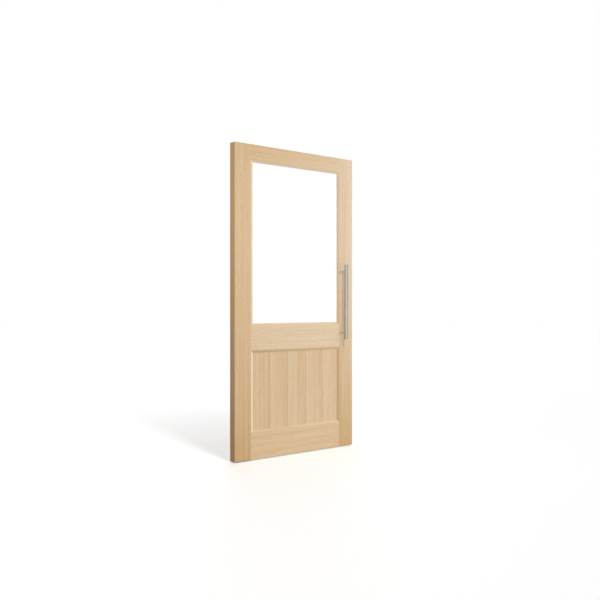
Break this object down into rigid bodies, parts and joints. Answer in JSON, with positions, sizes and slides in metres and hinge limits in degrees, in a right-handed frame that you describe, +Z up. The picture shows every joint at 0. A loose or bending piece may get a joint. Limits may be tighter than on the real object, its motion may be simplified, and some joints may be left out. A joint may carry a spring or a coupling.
{
  "type": "glazed wooden door",
  "caption": "Pale timber door leaf, glazed above and boarded below, with a straight pull bar on each face, swinging on a concealed centre pivot.",
  "frame": {"origin": "on the floor, midway along the leaf and midway through its thickness", "axes": "+X along the leaf from the pivot edge to the pull edge, +Y from the front face to the back face, +Z up"},
  "size_m": [1.02, 0.156, 2.046],
  "materials": {
    "stile_and_rail_timber": "satin clear lacquer over straight grain",
    "board_timber": "satin clear lacquer over straight grain",
    "bead_timber": "satin clear lacquer over straight grain",
    "dowel_timber": "plain turned beech",
    "satin_glass": "satin etched white glass",
    "clear_glass": "clear float glass",
    "spacer_aluminium": "mill finish",
    "edge_sealant": "matt",
    "glazing_tape": "matt closed-cell foam",
    "glazing_block": "moulded",
    "satin_stainless": "satin, grained along the bar",
    "zinc_steel": "bright zinc plated",
    "washer_nylon": "moulded nylon",
    "bearing_bronze": "turned"
  },
  "bodies": {
    "floor_pivot": {"floor_plate": "zinc_steel", "spindle": "zinc_steel", "thrust_washer": "washer_nylon"},
    "leaf": {"hinge_stile": "stile_and_rail_timber", "lock_stile": "stile_and_rail_timber", "top_rail": "stile_and_rail_timber", "middle_rail": "stile_and_rail_timber", "bottom_rail": "stile_and_rail_timber", "panel_board_1": "board_timber", "panel_board_2": "board_timber", "panel_board_3": "board_timber", "panel_board_4": "board_timber", "panel_board_5": "board_timber", "front_glass_bead_left": "bead_timber", "front_glass_bead_right": "bead_timber", "front_glass_bead_bottom": "bead_timber", "front_glass_bead_top": "bead_timber", "front_panel_bead_left": "bead_timber", "front_panel_bead_right": "bead_timber", "front_panel_bead_bottom": "bead_timber", "front_panel_bead_top": "bead_timber", "back_glass_bead_left": "bead_timber", "back_glass_bead_right": "bead_timber", "back_glass_bead_bottom": "bead_timber", "back_glass_bead_top": "bead_timber", "back_panel_bead_left": "bead_timber", "back_panel_bead_right": "bead_timber", "back_panel_bead_bottom": "bead_timber", "back_panel_bead_top": "bead_timber", "rail_dowels": "dowel_timber", "front_pane": "satin_glass", "back_pane": "clear_glass", "spacer_frame": "spacer_aluminium", "edge_seal": "edge_sealant", "front_glazing_tape": "glazing_tape", "back_glazing_tape": "glazing_tape", "setting_blocks": "glazing_block", "location_blocks": "glazing_block", "front_pull_tube": "satin_stainless", "front_tube_caps": "satin_stainless", "front_posts": "satin_stainless", "front_foot_washers": "washer_nylon", "front_grub_screws": "zinc_steel", "back_pull_tube": "satin_stainless", "back_tube_caps": "satin_stainless", "back_posts": "satin_stainless", "back_foot_washers": "washer_nylon", "back_grub_screws": "zinc_steel", "through_studs": "zinc_steel", "pivot_shoe": "zinc_steel", "shoe_screws": "zinc_steel", "top_pivot_block": "zinc_steel", "top_block_screws": "zinc_steel", "shoe_bush": "bearing_bronze", "top_bush": "bearing_bronze"}
  },
  "joints": [
    {"name": "leaf_swing", "type": "hinge", "parent": "floor_pivot", "child": "leaf", "pos_m": [-0.44, 0, 0.006], "axis": [0, 0, 1], "range_deg": [-90, 90]}
  ]
}
